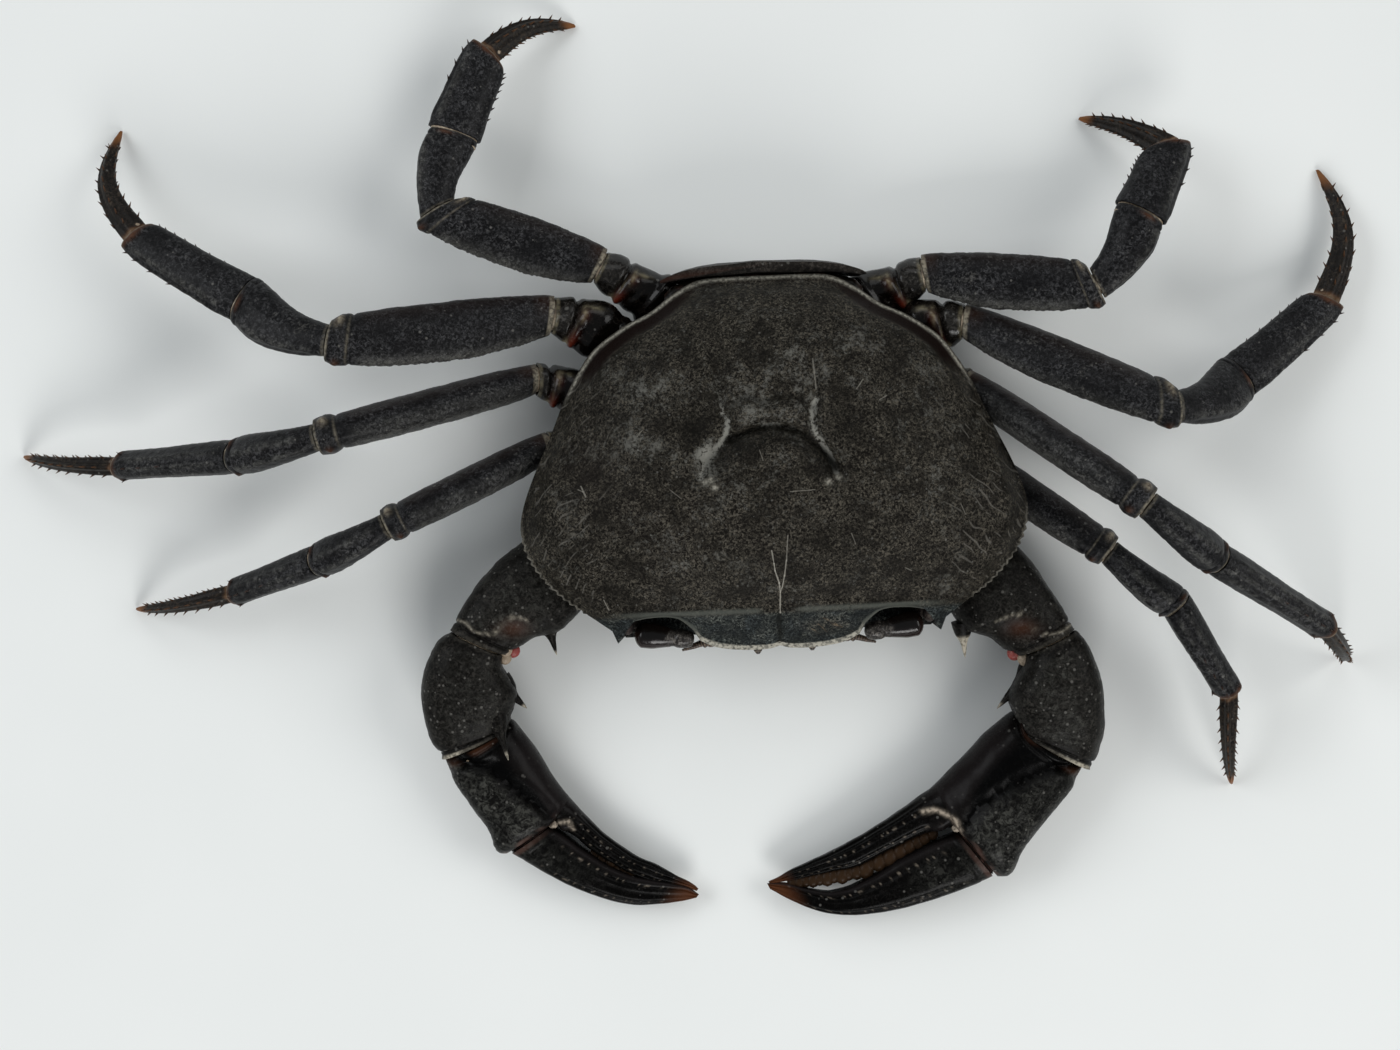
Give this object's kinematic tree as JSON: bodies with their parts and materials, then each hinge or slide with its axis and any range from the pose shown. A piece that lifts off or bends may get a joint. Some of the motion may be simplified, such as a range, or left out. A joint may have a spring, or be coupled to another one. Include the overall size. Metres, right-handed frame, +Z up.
{
  "type": "freshwater crab figure",
  "caption": "Life-size river crab resting belly down, broad domed shield, unequal claws curved together in front and jointed walking legs spread wide",
  "frame": {"origin": "on the flat of the belly where it rests on the floor, in the crab's median plane", "axes": "+X to the crab's own left, -Y the way the crab faces, +Z up"},
  "size_m": [0.1863, 0.1264, 0.0258],
  "materials": {
    "carapace_shell": "matt, finely granular charcoal brown",
    "under_shell": "satin brownish horn",
    "tail_shell": "satin dark brown",
    "eye_cornea": "glossy black",
    "antenna_shell": "satin red brown",
    "limb_base": "glossy dark red brown",
    "leg_shell": "satin black brown with rough edges",
    "leg_tip": "satin black brown with tan tips",
    "claw_arm": "matt granular black brown",
    "claw_hand": "smooth polished black brown"
  },
  "bodies": {
    "root": {"abdomen": "tail_shell", "antenna_left": "antenna_shell", "antenna_right": "antenna_shell", "carapace": "carapace_shell", "claw_left_base": "limb_base", "claw_left_carpus": "claw_arm", "claw_left_finger": "claw_hand", "claw_left_merus": "claw_arm", "claw_left_palm": "claw_hand", "claw_right_base": "limb_base", "claw_right_carpus": "claw_arm", "claw_right_finger": "claw_hand", "claw_right_merus": "claw_arm", "claw_right_palm": "claw_hand", "epistome": "under_shell", "eye_left": "eye_cornea", "eye_right": "eye_cornea", "leg_left_1_base": "limb_base", "leg_left_1_carpus": "leg_shell", "leg_left_1_dactylus": "leg_tip", "leg_left_1_merus": "leg_shell", "leg_left_1_propodus": "leg_shell", "leg_left_2_base": "limb_base", "leg_left_2_carpus": "leg_shell", "leg_left_2_dactylus": "leg_tip", "leg_left_2_merus": "leg_shell", "leg_left_2_propodus": "leg_shell", "leg_left_3_base": "limb_base", "leg_left_3_carpus": "leg_shell", "leg_left_3_dactylus": "leg_tip", "leg_left_3_merus": "leg_shell", "leg_left_3_propodus": "leg_shell", "leg_left_4_base": "limb_base", "leg_left_4_carpus": "leg_shell", "leg_left_4_dactylus": "leg_tip", "leg_left_4_merus": "leg_shell", "leg_left_4_propodus": "leg_shell", "leg_right_1_base": "limb_base", "leg_right_1_carpus": "leg_shell", "leg_right_1_dactylus": "leg_tip", "leg_right_1_merus": "leg_shell", "leg_right_1_propodus": "leg_shell", "leg_right_2_base": "limb_base", "leg_right_2_carpus": "leg_shell", "leg_right_2_dactylus": "leg_tip", "leg_right_2_merus": "leg_shell", "leg_right_2_propodus": "leg_shell", "leg_right_3_base": "limb_base", "leg_right_3_carpus": "leg_shell", "leg_right_3_dactylus": "leg_tip", "leg_right_3_merus": "leg_shell", "leg_right_3_propodus": "leg_shell", "leg_right_4_base": "limb_base", "leg_right_4_carpus": "leg_shell", "leg_right_4_dactylus": "leg_tip", "leg_right_4_merus": "leg_shell", "leg_right_4_propodus": "leg_shell", "maxilliped_left": "under_shell", "maxilliped_right": "under_shell", "sternum": "under_shell"}
  },
  "joints": []
}
